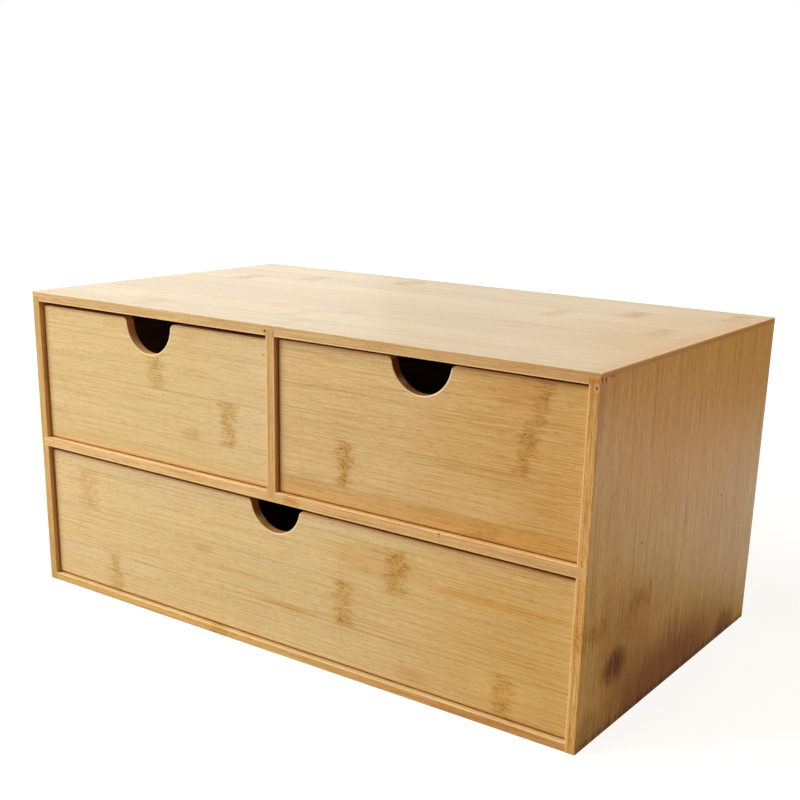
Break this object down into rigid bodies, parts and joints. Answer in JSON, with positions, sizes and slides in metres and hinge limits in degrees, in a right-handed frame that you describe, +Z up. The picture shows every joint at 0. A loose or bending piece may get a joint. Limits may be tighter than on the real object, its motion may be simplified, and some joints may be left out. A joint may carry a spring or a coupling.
{
  "type": "desktop drawer unit",
  "caption": "Low rectangular tabletop bamboo chest: half-width drawers over a full-width drawer, each with a round finger notch in its top edge instead of a handle.",
  "frame": {"origin": "middle of the footprint, on the surface that the unit stands on", "axes": "+X to the right seen from the front, +Y to the back, +Z up; the drawers pull out along -Y"},
  "size_m": [0.33, 0.19, 0.16],
  "materials": {
    "carcass_bamboo": "sanded laminated bamboo under satin clear lacquer",
    "drawer_front_bamboo": "sanded laminated bamboo under satin clear lacquer",
    "drawer_box_bamboo": "sanded laminated bamboo, matt",
    "thin_bamboo_sheet": "sanded bamboo ply, matt",
    "steel_brad": "bright drawn wire, dulled"
  },
  "bodies": {
    "carcass": {"top_panel": "carcass_bamboo", "left_side_panel": "carcass_bamboo", "right_side_panel": "carcass_bamboo", "bottom_panel": "carcass_bamboo", "middle_shelf": "carcass_bamboo", "centre_divider": "carcass_bamboo", "back_panel": "thin_bamboo_sheet", "shelf_brads": "steel_brad", "bottom_brads": "steel_brad"},
    "left_drawer": {"left_drawer_front": "drawer_front_bamboo", "left_drawer_left_side": "drawer_box_bamboo", "left_drawer_right_side": "drawer_box_bamboo", "left_drawer_back": "drawer_box_bamboo", "left_drawer_bottom": "thin_bamboo_sheet", "left_drawer_brads": "steel_brad"},
    "right_drawer": {"right_drawer_front": "drawer_front_bamboo", "right_drawer_left_side": "drawer_box_bamboo", "right_drawer_right_side": "drawer_box_bamboo", "right_drawer_back": "drawer_box_bamboo", "right_drawer_bottom": "thin_bamboo_sheet", "right_drawer_brads": "steel_brad"},
    "lower_drawer": {"lower_drawer_front": "drawer_front_bamboo", "lower_drawer_left_side": "drawer_box_bamboo", "lower_drawer_right_side": "drawer_box_bamboo", "lower_drawer_back": "drawer_box_bamboo", "lower_drawer_bottom": "thin_bamboo_sheet", "lower_drawer_brads": "steel_brad"}
  },
  "joints": [
    {"name": "left_drawer_slide", "type": "slide", "parent": "carcass", "child": "left_drawer", "axis": [0, -1, 0], "range_m": [0, 0.15]},
    {"name": "right_drawer_slide", "type": "slide", "parent": "carcass", "child": "right_drawer", "axis": [0, -1, 0], "range_m": [0, 0.15]},
    {"name": "lower_drawer_slide", "type": "slide", "parent": "carcass", "child": "lower_drawer", "axis": [0, -1, 0], "range_m": [0, 0.15]}
  ]
}
